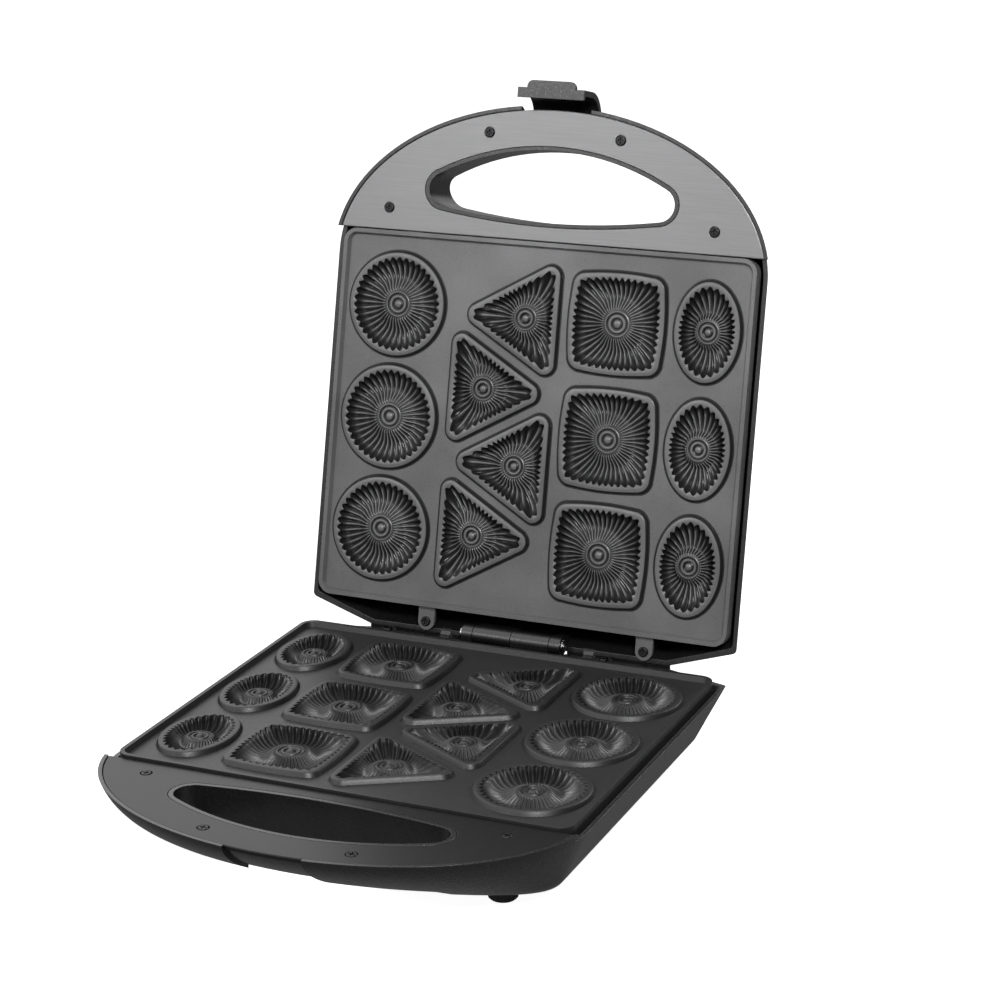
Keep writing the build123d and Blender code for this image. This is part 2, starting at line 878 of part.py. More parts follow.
def terminal_block():
    """Two-way connector block pressed on the pegs of the floor."""
    x, reach = block_spot
    with BuildPart() as solid:
        with Locations((x, -reach, -floor_drop)):
            Box(block_length, block_width, block_height, align=(Align.CENTER, Align.CENTER, Align.MIN))
        with Locations(*[(a, b, -floor_drop + block_height) for a, b in block_pegs]):
            Hole(block_bore + block_peg_clearance, block_height)
        for side in (-1, 1):
            spot = (x + side * block_way_pitch / 2, -reach, -floor_drop + block_height / 2)
            with Locations(Location(spot, (90, 0, 0))):
                Cylinder(block_bore, block_width, mode=Mode.SUBTRACT)
    return solid.part


def cord_gland():
    """Bush in the rear wall, with a flange outside and a lip inside."""
    with BuildPart() as solid:
        add(stub(gland_radius, gland_boss_root - gland_lip_thickness, gland_boss_face))
        add(stub(gland_lip_radius, gland_boss_root - gland_lip_thickness, gland_boss_root))
        add(stub(gland_flange_radius, gland_boss_face, gland_boss_face + gland_flange_thickness))
        add(stub(gland_bore, -far / 2, far / 2), mode=Mode.SUBTRACT)
    return solid.part


def hinge_pin():
    """Steel pin through every barrel, headed at one end and grooved at the other."""
    tip = ring_outer + clip_gap + clip_thickness + pin_tip
    groove = ring_outer + clip_gap
    with BuildPart() as solid:
        add(rod(pin_radius, -ring_outer, tip, hinge_behind, hinge_height))
        add(rod(pin_head_radius, -ring_outer - pin_head_height, -ring_outer, hinge_behind, hinge_height))
        with BuildSketch(Plane.YZ.offset(groove)):
            with Locations((hinge_behind, hinge_height)):
                Circle(pin_radius)
                Circle(groove_radius, mode=Mode.SUBTRACT)
        extrude(amount=clip_thickness, mode=Mode.SUBTRACT)
    return solid.part


def hinge_clip():
    """Open ring clipped in the groove of the pin."""
    with BuildPart() as solid:
        with BuildSketch(Plane.YZ.offset(ring_outer + clip_gap + clip_side_gap)):
            with Locations((hinge_behind, hinge_height)):
                Circle(clip_radius)
                Circle(groove_radius + pin_clearance, mode=Mode.SUBTRACT)
            with Locations((hinge_behind, hinge_height + clip_radius)):
                Rectangle(groove_radius, 2 * clip_radius, mode=Mode.SUBTRACT)
        extrude(amount=clip_thickness - 2 * clip_side_gap)
    return solid.part


def lamps():
    """Two lamp lenses plugged into the lid's outer face."""
    solids = []
    for x, y in lamp_spots:
        with BuildPart() as lens:
            with Locations((x, y, -body_depth)):
                Cylinder(lamp_flange_radius, lamp_proud, align=(Align.CENTER, Align.CENTER, Align.MAX))
                Cylinder(lamp_radius, lamp_length, align=(Align.CENTER, Align.CENTER, Align.MIN))
            chamfer(lens.faces().sort_by(Axis.Z)[0].edges(), lamp_proud / 2)
            with Locations((x, y, -body_depth + lamp_length)):
                Cylinder(
                    bulb_radius + lamp_clearance / 2,
                    lamp_length - lamp_proud,
                    align=(Align.CENTER, Align.CENTER, Align.MAX),
                    mode=Mode.SUBTRACT,
                )
        solids.append(lens.part)
    return solids


def lamp_bulbs():
    """Neon bulbs standing in the hollow backs of the lenses."""
    with BuildPart() as group:
        with BuildSketch(Plane.XY.offset(-body_depth + lamp_proud)):
            with Locations(*lamp_spots):
                Circle(bulb_radius)
        extrude(amount=bulb_length)
        fillet(group.faces().sort_by(Axis.Z)[-2:].edges(), bulb_radius / 2)
    return group.part


def latch():
    """Bowed lever with its pivot barrel, thumb tab and the lip that hooks under the base."""
    pivot = (-latch_pivot_reach, -latch_pivot_drop)
    centre = (latch_elbow_radius - latch_arm_reach, latch_elbow_radius - latch_elbow_drop)
    inside = latch_elbow_radius - latch_arm
    half = latch_width / 2
    with BuildPart() as lever:
        with BuildSketch(Plane.YZ.offset(-half)) as side_view:
            with Locations(centre):
                Circle(latch_elbow_radius)
                Circle(inside, mode=Mode.SUBTRACT)
            with Locations((centre[0] + far / 2, centre[1])):
                Rectangle(far, far, mode=Mode.SUBTRACT)
            with Locations((centre[0], centre[1] + far / 2)):
                Rectangle(far, far, mode=Mode.SUBTRACT)
            with Locations((latch_arm / 2 - latch_arm_reach, (centre[1] + latch_arm_end) / 2)):
                Rectangle(latch_arm, latch_arm_end - centre[1])
        extrude(amount=latch_width)
        with BuildSketch(Plane.YZ.offset(-half)):
            with Locations(pivot):
                Circle(latch_barrel_radius)
            with Locations((centre[0], latch_arm / 2 - latch_elbow_drop)):
                Rectangle(latch_foot, latch_arm)
            make_hull()
        extrude(amount=latch_width)
        with BuildSketch(Plane.XZ.offset(latch_arm_reach - latch_arm / 2)) as tab:
            with Locations((0, latch_arm_end - latch_tab_thickness / 2)):
                Rectangle(latch_tab_width, latch_tab_thickness)
        extrude(amount=latch_arm / 2 + latch_tab_height)
        with BuildSketch(Plane.YZ.offset(-half)):
            with BuildLine():
                Polyline(
                    (latch_arm / 2 - latch_arm_reach, latch_arm_end),
                    (latch_arm - latch_arm_reach + latch_hook_length, latch_arm_end),
                    (latch_arm - latch_arm_reach + latch_hook_length, latch_arm_end - latch_hook_tip),
                    (latch_arm / 2 - latch_arm_reach, latch_arm_end - latch_hook_thickness),
                    close=True,
                )
            make_face()
        extrude(amount=latch_width)
        outer_tab = lever.edges().filter_by(Axis.Z).group_by(Axis.Y)[0]
        fillet(outer_tab, latch_tab_corner)
        add(
            rod(latch_pin_radius + latch_running_fit, -far, far, -latch_pivot_reach, -latch_pivot_drop),
            mode=Mode.SUBTRACT,
        )
    return lever.part


def latch_pin():
    """Pin of the latch, held in the cheeks of its pocket."""
    half = latch_width / 2 + latch_pocket_clearance + latch_cheek - latch_pin_short
    return rod(latch_pin_radius, -half, half, -latch_pivot_reach, -latch_pivot_drop)


# Pieces that are the same in both halves, each made once
plate_solid = cake_plate()
panel_solid = handle_panel()
element_solid = heating_element()
insulator_solid = element_insulators()
clamp_solid = element_clamps()
clamp_screw_solid = under_screws(small_screw_spots, -base_bottom - clamp_thickness)
reflector_solid = reflector()
screw_sizes = (screw_length, screw_radius, screw_head_radius, screw_head_height)
plate_screw_solid = screws(lug_screws, -lug_drop, *screw_sizes)
panel_screw_solid = screws(panel_screws, -panel_drop - panel_recess_depth, *screw_sizes)
reflector_screw_solid = screws(post_spots, -reflector_drop, *screw_sizes)
lamp_solids = lamps()
both = {
    "plate": plate_solid,
    "handle_panel": panel_solid,
    "heating_element": element_solid,
    "element_insulators": insulator_solid,
    "element_clamps": clamp_solid,
    "clamp_screws": clamp_screw_solid,
    "reflector": reflector_solid,
    "reflector_screws": reflector_screw_solid,
    "plate_screws": plate_screw_solid,
    "panel_screws": panel_screw_solid,
}
lower_only = {
    "lower_housing": housing(False),
    "rubber_feet": rubber_feet(),
    "thermostat": thermostat(),
    "thermostat_screws": under_screws(thermostat_screws, -base_bottom - thermostat_ear_thickness),
    "thermal_fuse": thermal_fuse(),
    "fuse_strap": fuse_strap(),
    "fuse_strap_screws": under_screws(fuse_screws, -base_bottom - clamp_thickness),
    "terminal_block": terminal_block(),
    "cord_gland": cord_gland(),
    "hinge_pin": hinge_pin(),
    "hinge_clip": hinge_clip(),
}
lid_only = {
    "lid_housing": housing(True),
    "power_lamp": lamp_solids[0],
    "ready_lamp": lamp_solids[1],
    "lamp_bulbs": lamp_bulbs(),
    "latch": latch(),
    "latch_pin": latch_pin(),
}

# The lid is turned over on to the base, then swung open about the hinge
hinge_at = Location((0, hinge_behind, hinge_height))
turned_over = Location((0, 0, closed_gap), (0, 180, 0))
lid_place = hinge_at * Location((0, 0, 0), (-open_angle, 0, 0)) * hinge_at.inverse() * turned_over
pieces = {f"lower_{name}": solid for name, solid in both.items()} | lower_only
pieces |= {f"lid_{name}": lid_place * solid for name, solid in both.items()}
pieces |= {name: lid_place * solid for name, solid in lid_only.items()}

# The origin is put under the middle of the whole object as it stands open
boxes = [piece.bounding_box() for piece in pieces.values()]
middle_x = (min(box.min.X for box in boxes) + max(box.max.X for box in boxes)) / 2
middle_y = (min(box.min.Y for box in boxes) + max(box.max.Y for box in boxes)) / 2
ground = min(box.min.Z for box in boxes)
stand = Location((-middle_x, -middle_y, -ground))
os.makedirs("parts", exist_ok=True)
for name, piece in pieces.items():
    placed = stand * piece
    placed.label = name
    export_step(placed, f"parts/{name}.step")
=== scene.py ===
import json
from math import atan2, cos, exp, hypot, log, pi, radians, sin, sqrt, tau

import bpy
from bpy.props import FloatProperty, FloatVectorProperty, IntProperty, PointerProperty
from bpy.types import Operator, Panel, PropertyGroup
from mathutils import Matrix, Vector


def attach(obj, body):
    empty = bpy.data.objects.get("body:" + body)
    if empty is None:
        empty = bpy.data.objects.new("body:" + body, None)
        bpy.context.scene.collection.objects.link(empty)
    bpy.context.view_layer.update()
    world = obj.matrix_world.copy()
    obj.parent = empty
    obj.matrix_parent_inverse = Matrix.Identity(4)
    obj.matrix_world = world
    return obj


bl_info = {
    "name": "Mini donut maker",
    "version": (1, 0, 0),
    "blender": (4, 5, 0),
    "location": "View3D > Sidebar > Donut maker",
    "description": "Moulds, finishes and studio of a mini donut maker with a hinged lid",
    "category": "Object",
}

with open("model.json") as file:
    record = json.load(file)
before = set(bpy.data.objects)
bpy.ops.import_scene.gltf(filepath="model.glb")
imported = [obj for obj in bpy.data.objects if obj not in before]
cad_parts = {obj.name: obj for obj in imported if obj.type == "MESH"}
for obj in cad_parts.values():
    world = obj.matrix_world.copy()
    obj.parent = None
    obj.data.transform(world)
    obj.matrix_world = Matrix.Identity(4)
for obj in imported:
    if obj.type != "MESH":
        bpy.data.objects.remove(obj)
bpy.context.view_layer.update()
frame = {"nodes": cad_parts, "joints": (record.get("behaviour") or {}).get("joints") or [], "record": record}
MM = 0.001

# Refraction of the coating and the lacquer, of moulded pieces, and of lenses
COATING_IOR = 1.5
MOULDING_IOR = 1.6
LENS_IOR = 1.49
# Share of metal in the panels' lacquer and in the lid's coating
LACQUER_METAL = 0.4
LID_FLAKE = 0.15
# Roughness of the base's coating over the lid's
BASE_COAT_DULLER = 1.4
# Rounding of a casting's edges over that of the others
MOULD_EDGE_SHARE = 0.3
# Painted shade and painted highlight: brightness of a casting's valleys over that of its open face, which
# brightens crests where the valley value is negative
VALLEY_GAIN = 0.08


def linear(hex_colour):
    """Linear RGB of an sRGB hex colour."""
    parts = [int(hex_colour[i : i + 2], 16) / 255 for i in (1, 3, 5)]
    return tuple(p / 12.92 if p <= 0.04045 else ((p + 0.055) / 1.055) ** 2.4 for p in parts)


def paint(label, hex_colour, description):
    """Colour that a user can change, given as sRGB hex."""
    return FloatVectorProperty(
        name=label, description=description, default=linear(hex_colour),
        size=3, min=0, max=1, subtype="COLOR",
    )


def length(label, value_mm, description):
    """Length that a user can change, given in millimetres."""
    return FloatProperty(
        name=label, description=description, default=value_mm * MM, min=0,
        subtype="DISTANCE", unit="LENGTH", precision=5,
    )


def share(label, value, description):
    """Share between nothing and all that a user can change."""
    return FloatProperty(
        name=label, description=description, default=value, min=0, max=1, subtype="FACTOR"
    )


def number(label, value, description):
    """Plain number that a user can change."""
    return FloatProperty(name=label, description=description, default=value, min=0)


def power(label, value, description):
    """Power of a lamp that a user can change, in watts."""
    return FloatProperty(name=label, description=description, default=value, min=0, unit="POWER")


def count(label, value, description):
    """Number of flutes that a user can change."""
    return IntProperty(name=label, description=description, default=value, min=12)


class FinishSettings(PropertyGroup):
    """Colours and gloss of the materials"""

    # Painted light: the lid's coating and panel are set lighter and the base's darker, as lit and shaded
    # copies of one coating and one lacquer
    lid_coating: paint("Lid coating", "#6a6a6b", "Non-stick coating of the lid's plate")
    base_coating: paint("Base coating", "#202021", "Non-stick coating of the base's plate")
    lid_panel: paint("Lid panel", "#868687", "Lacquer of the lid's handle panel")
    base_panel: paint("Base panel", "#181819", "Lacquer of the base's handle panel")
    housing: paint("Housing", "#161617", "Moulded housings of both halves")
    latch: paint("Latch", "#1e1e1f", "Moulded latch")
    screw: paint("Screws", "#343435", "Blackened screws that show")
    rubber: paint("Rubber", "#1a1a1a", "Feet and cord bush")
    coating_gloss: share("Coating roughness", 0.31, "Roughness of the non-stick coating")
    panel_gloss: share("Panel roughness", 0.34, "Roughness of the lacquered panels")
    housing_gloss: share("Housing roughness", 0.3, "Roughness of the moulded housings")
    edge_round: length("Edge rounding", 0.5, "Rounding of the edges as the light sees them")


def add_node(tree, kind, links=(), **settings):
    """Adds a node, sets its properties and sockets, and links its inputs.
    A setting called i and a number is the value of the input with that number."""
    made = tree.nodes.new(kind)
    for name, value in settings.items():
        if hasattr(made, name):
            setattr(made, name, value)
        else:
            key = int(name[1:]) if name[1:].isdigit() else name.replace("_", " ")
            made.inputs[key].default_value = value
    for source, target in links:
        tree.links.new(source, made.inputs[target])
    return made


def principled(name, **settings):
    """New material with one Principled shader whose edges take a small rounding from the light."""
    made = bpy.data.materials.new(name)
    made.use_nodes = True
    tree = made.node_tree
    tree.nodes.clear()
    round_edge = bpy.context.scene.maker_finish.edge_round
    edge = add_node(tree, "ShaderNodeBevel", samples=4, Radius=round_edge)
    shader = add_node(tree, "ShaderNodeBsdfPrincipled", links=[(edge.outputs[0], "Normal")], **settings)
    add_node(tree, "ShaderNodeOutputMaterial", links=[(shader.outputs[0], 0)])
    return made, tree, shader, edge


def grain(tree, size_mm, detail=2.0, roughness=0.5):
    """Noise of a real size on the piece's own coordinates."""
    place = add_node(tree, "ShaderNodeTexCoord")
    return add_node(
        tree, "ShaderNodeTexNoise", links=[(place.outputs["Object"], "Vector")],
        Scale=1 / (size_mm * MM), Detail=detail, Roughness=roughness,
    ).outputs[0]


def brushed(tree, length_mm, width_mm):
    """Noise drawn out along the width of the object, like the lines of brushed sheet."""
    place = add_node(tree, "ShaderNodeTexCoord")
    drawn = add_node(tree, "ShaderNodeMapping", links=[(place.outputs["Object"], "Vector")])
    along, across = 1 / (length_mm * MM), 1 / (width_mm * MM)
    drawn.inputs["Scale"].default_value = (along, across, across)
    return add_node(
        tree, "ShaderNodeTexNoise", links=[(drawn.outputs[0], "Vector")],
        Scale=1.0, Detail=4.0, Roughness=0.6,
    ).outputs[0]


def spread(tree, source, low, high, start=0.3, end=0.7):
    """Turns a value between start and end into a number between two limits."""
    return add_node(
        tree, "ShaderNodeMapRange", links=[(source, 0)], i1=start, i2=end, i3=low, i4=high
    ).outputs[0]


def shade(tree, source, colour, swing):
    """Colour that a value makes darker or lighter by a share."""
    mix = add_node(tree, "ShaderNodeMix", data_type="RGBA", links=[(source, 0)])
    mix.inputs[6].default_value = (*[part * (1 - swing) for part in colour], 1)
    mix.inputs[7].default_value = (*[min(part * (1 + swing), 1) for part in colour], 1)
    return mix.outputs[2]


def painted_shade_and_highlight(tree, unshaded):
    """Colour darkened by painted shade in a casting's valleys and brightened by a painted highlight on its
    crests.
    """
    valley = add_node(tree, "ShaderNodeAttribute", attribute_name="valley")
    gain = add_node(
        tree, "ShaderNodeMath", operation="POWER", i0=VALLEY_GAIN, links=[(valley.outputs["Fac"], 1)]
    )
    return add_node(
        tree, "ShaderNodeVectorMath", operation="SCALE",
        links=[(unshaded, 0), (gain.outputs[0], "Scale")],
    ).outputs[0]


def dress(tree, shader, colour, roughness):
    """Gives the shader its colour and its roughness."""
    tree.links.new(colour, shader.inputs["Base Color"])
    tree.links.new(roughness, shader.inputs["Roughness"])


def relief(tree, shader, edge, height, depth_mm):
    """Bump of a real depth, over the rounded edges."""
    bump = add_node(
        tree, "ShaderNodeBump", links=[(height, "Height"), (edge.outputs[0], "Normal")],
        Distance=depth_mm * MM,
    )
    tree.links.new(bump.outputs[0], shader.inputs["Normal"])


def non_stick_coating(name, colour, gloss, flake):
    """Sprayed non-stick coating on die-cast aluminium: dull, with pale flecks, with painted shade in its
    valleys and a painted highlight on its crests.
    """
    made, tree, shader, edge = principled(name, IOR=COATING_IOR, Metallic=flake)
    edge.inputs["Radius"].default_value *= MOULD_EDGE_SHARE
    # The real flecks are too fine to show, so they are drawn coarser
    fleck = grain(tree, size_mm=0.8, detail=3, roughness=0.7)
    mottle = grain(tree, size_mm=45, detail=3)
    both = add_node(
        tree, "ShaderNodeMath", operation="MULTIPLY_ADD", i1=0.5, links=[(fleck, 0), (mottle, 2)]
    )
    steer = spread(tree, both.outputs[0], low=0, high=1, start=0.55, end=0.95)
    unshaded = shade(tree, steer, colour, swing=0.2)
    # Painted shade in the valleys and a painted highlight on the crests, steered by the moulds' valley
    # values
    dress(tree, shader, painted_shade_and_highlight(tree, unshaded), spread(tree, fleck, low=gloss * 0.85, high=gloss * 1.15))
    relief(tree, shader, edge, fleck, depth_mm=0.03)
    return made


def satin_lacquer(name, colour, gloss):
    """Satin lacquer on brushed sheet: smooth, with drawn lines and a soft metallic sheen."""
    made, tree, shader, edge = principled(name, IOR=COATING_IOR, Metallic=LACQUER_METAL)
    # The real pearl and brushed lines are too fine to show, so both are drawn coarser
    pearl = grain(tree, size_mm=0.5)
    steer = spread(tree, brushed(tree, length_mm=30, width_mm=0.6), low=0, high=1)
    tint = shade(tree, steer, colour, swing=0.07)
    dress(tree, shader, tint, spread(tree, pearl, low=gloss * 0.9, high=gloss * 1.15))
    relief(tree, shader, edge, pearl, depth_mm=0.006)
    return made


def moulded(name, colour, gloss, peel_mm=1.4, peel_depth=0.01):
    """Moulded plastic, rubber or ceramic with a faint peel in its gloss."""
    made, tree, shader, edge = principled(name, IOR=MOULDING_IOR)
    peel = grain(tree, peel_mm)
    steer = spread(tree, grain(tree, size_mm=30), low=0, high=1)
    tint = shade(tree, steer, colour, swing=0.15)
    dress(tree, shader, tint, spread(tree, peel, low=gloss * 0.85, high=min(gloss * 1.2, 1)))
    relief(tree, shader, edge, peel, peel_depth)
    return made


def drawn_metal(name, colour, gloss, line_mm=0.3):
    """Drawn or rolled metal with an uneven gloss."""
    made, tree, shader, edge = principled(name, Metallic=1.0)
    # The real marks of drawing are too fine to show, so they are drawn coarser
    line = grain(tree, line_mm)
    steer = spread(tree, grain(tree, size_mm=6, detail=4), low=0, high=1)
    tint = shade(tree, steer, colour, swing=0.12)
    dress(tree, shader, tint, spread(tree, line, low=gloss * 0.7, high=gloss * 1.3))
    relief(tree, shader, edge, line, depth_mm=0.006)
    return made


def tinted_lens(name, colour):
    """Clear coloured acrylic or glass."""
    made, tree, shader, edge = principled(name, Roughness=0.08, IOR=LENS_IOR, Transmission_Weight=0.5)
    steer = spread(tree, grain(tree, size_mm=4, detail=1), low=0, high=1)
    tree.links.new(shade(tree, steer, colour, swing=0.1), shader.inputs["Base Color"])
    return made


def make_finishes(settings):
    """Every material, under its slot and, where the two halves differ, the half's name before it."""
    coat, lacquer, plastic = settings.coating_gloss, settings.panel_gloss, settings.housing_gloss
    dull_coat = coat * BASE_COAT_DULLER
    return {
        # Sprayed coating on cast aluminium: a dull dark grey with soft highlights on its flutes, partly
        # painted on the crests. The lid's copy is painted lighter and the base's darker, as lit and shaded
        # copies of one coating
        "lid coated_plate": non_stick_coating(
            "grey_non_stick_coating", settings.lid_coating, coat, LID_FLAKE
        ),
        "lower coated_plate": non_stick_coating(
            "black_non_stick_coating", settings.base_coating, dull_coat, flake=0.0
        ),
        # Lacquer over brushed sheet: a broad soft sheen with faint lines across the handle. The lid's copy
        # is painted lighter and the base's darker, as lit and shaded copies of one lacquer
        "lid satin_panel": satin_lacquer("grey_satin_lacquer", settings.lid_panel, lacquer),
        "lower satin_panel": satin_lacquer("dark_satin_lacquer", settings.base_panel, lacquer),
        # Phenolic moulding: near black with a smooth, slightly uneven gloss
        "black_housing": moulded("black_phenolic_moulding", settings.housing, plastic),
        # Nylon: a shade paler and finer than the housing
        "latch_plastic": moulded("latch_nylon", settings.latch, gloss=0.3, peel_mm=0.9),
        # Blackened steel: small dark heads with a metallic glint on their slots
        "dark_screw": drawn_metal("blackened_steel", settings.screw, gloss=0.34),
        # Rubber: dull black with next to no highlight
        "black_rubber": moulded("black_rubber", settings.rubber, gloss=0.75, peel_mm=0.8),
        # Element tube: steel gone brown and dull from heat
        "element_steel": drawn_metal("heat_tinted_steel", linear("#7c766c"), gloss=0.42),
        # Ceramic: chalky off-white
        "white_ceramic": moulded("unglazed_ceramic", linear("#d6d2c6"), gloss=0.7),
        # Zinc plate: bright, cold and slightly clouded
        "plated_steel": drawn_metal("zinc_plated_steel", linear("#b6babd"), gloss=0.32),
        # Rolled aluminium: a mirror blurred along its grain
        "bright_sheet": drawn_metal(
            "bright_aluminium_sheet", linear("#dadbdc"), gloss=0.22, line_mm=0.8
        ),
        # Brown phenolic of the thermostat's case: warm and half dull
        "brown_phenolic": moulded("brown_phenolic", linear("#523422"), gloss=0.35),
        # Tinned copper: pale and soft
        "tinned_metal": drawn_metal("tinned_copper", linear("#c4c3bd"), gloss=0.3),
        # Natural nylon: milky white
        "white_nylon": moulded("natural_nylon", linear("#e1e0d8"), gloss=0.5),
        # Drawn steel pins: smooth, with a narrow bright highlight
        "pin_steel": drawn_metal("drawn_steel", linear("#a8a9ab"), gloss=0.24),
        # Lamp lenses and bulbs: clear, coloured and shiny
        "red_lens": tinted_lens("red_acrylic", linear("#9a1818")),
        "green_lens": tinted_lens("green_acrylic", linear("#217134")),
        "bulb_glass": tinted_lens("bulb_glass", linear("#e0dad0")),
    }


class MAKER_OT_finishes(Operator):
    """Gives every part of the frame its finish"""

    bl_idname = "maker.finishes"
    bl_label = "Finishes"

    def execute(self, context):
        made = make_finishes(context.scene.maker_finish)
        for entry in frame["record"]["subparts"]:
            half = "lid" if entry["node"].startswith("lid") else "lower"
            slot = entry["material_slot"]
            finish = made.get(slot) or made[f"{half} {slot}"]
            for place in frame["nodes"][entry["node"]].material_slots:
                place.material = finish
        return {"FINISHED"}


# Lamps of the studio, in metres: place and width. Each aims at the middle of the object
LAMPS = {
    "key": ((0.9, -1.4, 1.6), 0.55),
    "sheen": ((-0.77, -1.6, 0.95), 0.4),
    "left": ((-1.7, -0.9, 0.9), 1.2),
    "top": ((0.1, 0.3, 1.9), 1.2),
    "rear": ((0.9, 1.7, 1.3), 1.0),
}
LAMP_AIM = (0, 0.05, 0.2)
FLOOR_SIZE = 12
PAPER_TONE = (0.8, 0.8, 0.8, 1)
WHITE = (1, 1, 1, 1)

# Camera fitted to the photo: angles in degrees, place in metres, lens and film in millimetres
CAMERA_AZIMUTH = 23.655
CAMERA_ELEVATION = 15.266
CAMERA_ROLL = -0.669
CAMERA_PLACE = (0.57246, -1.21897, 0.58697)
CAMERA_FILM = 36
CAMERA_LENS = 97.79
CAMERA_SHIFT = (0.00164, -0.11301)


class StudioSettings(PropertyGroup):
    """Light and paper of the studio"""

    key_power: power("Key lamp", 42, "Lamp before the lid")
    sheen_power: power("Sheen lamp", 3, "Lamp mirrored in the lid's panel")
    left_power: power("Left lamp", 2, "Lamp to the left")
    top_power: power("Top lamp", 3, "Lamp overhead")
    rear_power: power("Rear lamp", 16, "Lamp behind the lid")
    air_light: share("Air light", 0.05, "Light that the surroundings throw on dull surfaces")
    air_gloss: number("Air in gloss", 1.8, "Brightness of the surroundings in glossy surfaces")
    paper_glow: share("Paper glow", 0.96, "Light of its own that whitens the paper in the picture")
    paper_gloss: share("Paper in gloss", 0.18, "Brightness of the paper in glossy surfaces")


def paper_floor(settings):
    """Paper that looks white to the camera, keeps the shadow and shows darker in glossy surfaces."""
    bpy.ops.object.select_all(action="DESELECT")
    bpy.ops.mesh.primitive_plane_add(size=FLOOR_SIZE, location=(0, 0, 0))
    floor = bpy.context.object
    floor.name = "studio_floor"
    made = bpy.data.materials.new("white_paper")
    made.use_nodes = True
    tree = made.node_tree
    tree.nodes.clear()
    path = add_node(tree, "ShaderNodeLightPath")
    paper = add_node(tree, "ShaderNodeBsdfDiffuse", Color=PAPER_TONE)
    glow = add_node(tree, "ShaderNodeEmission", Strength=settings.paper_glow)
    lit = add_node(tree, "ShaderNodeAddShader", links=[(paper.outputs[0], 0), (glow.outputs[0], 1)])
    gloss = add_node(tree, "ShaderNodeEmission", Strength=settings.paper_gloss)
    seen = add_node(tree, "ShaderNodeMixShader", links=[
        (path.outputs["Is Camera Ray"], 0), (paper.outputs[0], 1), (lit.outputs[0], 2)])
    last = add_node(tree, "ShaderNodeMixShader", links=[
        (path.outputs["Is Glossy Ray"], 0), (seen.outputs[0], 1), (gloss.outputs[0], 2)])
    add_node(tree, "ShaderNodeOutputMaterial", links=[(last.outputs[0], 0)])
    floor.data.materials.append(made)
    return floor


def studio_air(scene, settings):
    """Surroundings: white to the camera, faint on dull surfaces and graded in glossy ones."""
    world = bpy.data.worlds.new("studio_air")
    scene.world = world
    world.use_nodes = True
    tree = world.node_tree
    tree.nodes.clear()
    path = add_node(tree, "ShaderNodeLightPath")
    dull = add_node(tree, "ShaderNodeBackground", Color=WHITE, Strength=settings.air_light)
    # In gloss the air brightens from the horizon upwards and darkens from left to right
    toward = add_node(tree, "ShaderNodeTexCoord")
    parts = add_node(tree, "ShaderNodeSeparateXYZ", links=[(toward.outputs["Generated"], 0)])
    lift = spread(tree, parts.outputs[2], low=0.1, high=1, start=0, end=0.4)
    side = spread(tree, parts.outputs[0], low=1, high=0.15, start=-0.5, end=0.6)
    both = add_node(tree, "ShaderNodeMath", operation="MULTIPLY", links=[(lift, 0), (side, 1)])
    bright = add_node(
        tree, "ShaderNodeMath", operation="MULTIPLY", i1=settings.air_gloss, links=[(both.outputs[0], 0)]
    )
    gloss = add_node(
        tree, "ShaderNodeBackground", Color=WHITE, links=[(bright.outputs[0], "Strength")]
    )
    white = add_node(tree, "ShaderNodeBackground", Color=WHITE, Strength=1.0)
    air = add_node(tree, "ShaderNodeMixShader", links=[
        (path.outputs["Is Glossy Ray"], 0), (dull.outputs[0], 1), (gloss.outputs[0], 2)])
    seen = add_node(tree, "ShaderNodeMath", operation="MAXIMUM", links=[
        (path.outputs["Is Camera Ray"], 0), (path.outputs["Is Transmission Ray"], 1)])
    last = add_node(tree, "ShaderNodeMixShader", links=[
        (seen.outputs[0], 0), (air.outputs[0], 1), (white.outputs[0], 2)])
    add_node(tree, "ShaderNodeOutputWorld", links=[(last.outputs[0], 0)])


def area_lamp(name, place, size, watts):
    """Square soft lamp turned to the object."""
    lamp = bpy.data.lights.new(name, "AREA")
    lamp.shape = "SQUARE"
    lamp.size = size
    lamp.energy = watts
    holder = bpy.data.objects.new(name, lamp)
    bpy.context.scene.collection.objects.link(holder)
    holder.location = place
    holder.rotation_euler = (Vector(LAMP_AIM) - Vector(place)).to_track_quat("-Z", "Y").to_euler()


def photo_camera(scene):
    """Camera at the photo's place, turned by azimuth, elevation and roll."""
    azimuth, elevation = radians(CAMERA_AZIMUTH), radians(CAMERA_ELEVATION)
    roll = radians(CAMERA_ROLL)
    back = Vector((sin(azimuth) * cos(elevation), -cos(azimuth) * cos(elevation), sin(elevation)))
    right = (-back).cross(Vector((0, 0, 1))).normalized()
    up = right.cross(-back)
    turned_right = right * cos(roll) + up * sin(roll)
    turned_up = up * cos(roll) - right * sin(roll)
    view = bpy.data.cameras.new("photo_view")
    camera = bpy.data.objects.new("photo_view", view)
    scene.collection.objects.link(camera)
    turn = Matrix((turned_right, turned_up, back)).transposed().to_4x4()
    camera.matrix_world = Matrix.Translation(CAMERA_PLACE) @ turn
    view.sensor_width = CAMERA_FILM
    view.lens = CAMERA_LENS
    view.shift_x, view.shift_y = CAMERA_SHIFT
    scene.camera = camera


class MAKER_OT_studio(Operator):
    """Paper floor, soft lamps, surroundings and camera"""

    bl_idname = "maker.studio"
    bl_label = "Studio"

    def execute(self, context):
        scene = context.scene
        settings = scene.maker_studio
        floor = paper_floor(settings)
        studio_air(scene, settings)
        for name, (place, size) in LAMPS.items():
            area_lamp(name, place, size, getattr(settings, f"{name}_power"))
        photo_camera(scene)
        scene.view_settings.view_transform = "Standard"
        return {"FINISHED"}


